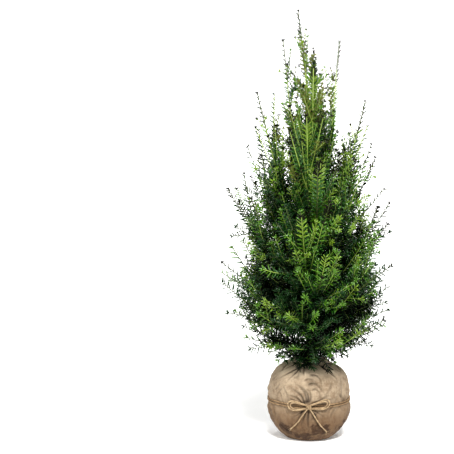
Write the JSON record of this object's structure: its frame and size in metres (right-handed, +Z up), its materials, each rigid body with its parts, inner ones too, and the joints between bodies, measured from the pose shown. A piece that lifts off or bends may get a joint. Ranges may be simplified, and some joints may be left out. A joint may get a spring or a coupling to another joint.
{
  "type": "young yew on a burlap-wrapped root ball",
  "caption": "Young conical evergreen with ascending needled boughs round one leader, standing on a root ball wrapped in burlap and tied with jute twine in a bow.",
  "frame": {"origin": "centre of the root ball's flat underside, on the ground", "axes": "+Z up along the trunk; the twine's bow faces -Y"},
  "size_m": [0.4512, 0.4147, 1.13],
  "materials": {
    "burlap": "matte",
    "twine": "matte",
    "bark": "rough",
    "foliage": "satin",
    "young_foliage": "satin"
  },
  "bodies": {
    "root": {"root_ball": "burlap", "twine_turn_upper": "twine", "twine_turn_lower": "twine", "bow": "twine", "trunk": "bark", "bough_skirt_right": "bark", "mass_skirt_right": "foliage", "bough_skirt_back": "bark", "mass_skirt_back": "foliage", "bough_skirt_left": "bark", "mass_skirt_left": "foliage", "bough_skirt_front": "bark", "mass_skirt_front": "foliage", "bough_low_right": "bark", "mass_low_right": "foliage", "bough_low_back": "bark", "mass_low_back": "foliage", "bough_low_left": "bark", "mass_low_left": "foliage", "bough_low_front": "bark", "mass_low_front": "foliage", "bough_broad_right": "bark", "mass_broad_right": "foliage", "bough_broad_back": "bark", "mass_broad_back": "foliage", "bough_broad_left": "bark", "mass_broad_left": "foliage", "bough_broad_front": "bark", "mass_broad_front": "foliage", "bough_middle_right": "bark", "mass_middle_right": "foliage", "bough_middle_back": "bark", "mass_middle_back": "foliage", "bough_middle_left": "bark", "mass_middle_left": "foliage", "bough_middle_front": "bark", "mass_middle_front": "foliage", "bough_upper_right": "bark", "mass_upper_right": "foliage", "bough_upper_back": "bark", "mass_upper_back": "foliage", "bough_upper_left": "bark", "mass_upper_left": "foliage", "bough_upper_front": "bark", "mass_upper_front": "foliage", "bough_high_right": "bark", "mass_high_right": "young_foliage", "bough_high_back": "bark", "mass_high_back": "young_foliage", "bough_high_left": "bark", "mass_high_left": "young_foliage", "bough_high_front": "bark", "mass_high_front": "young_foliage", "mass_crown_right": "young_foliage", "mass_crown_back": "young_foliage", "mass_crown_left": "young_foliage", "mass_crown_front": "young_foliage", "mass_tip": "young_foliage"}
  },
  "joints": []
}
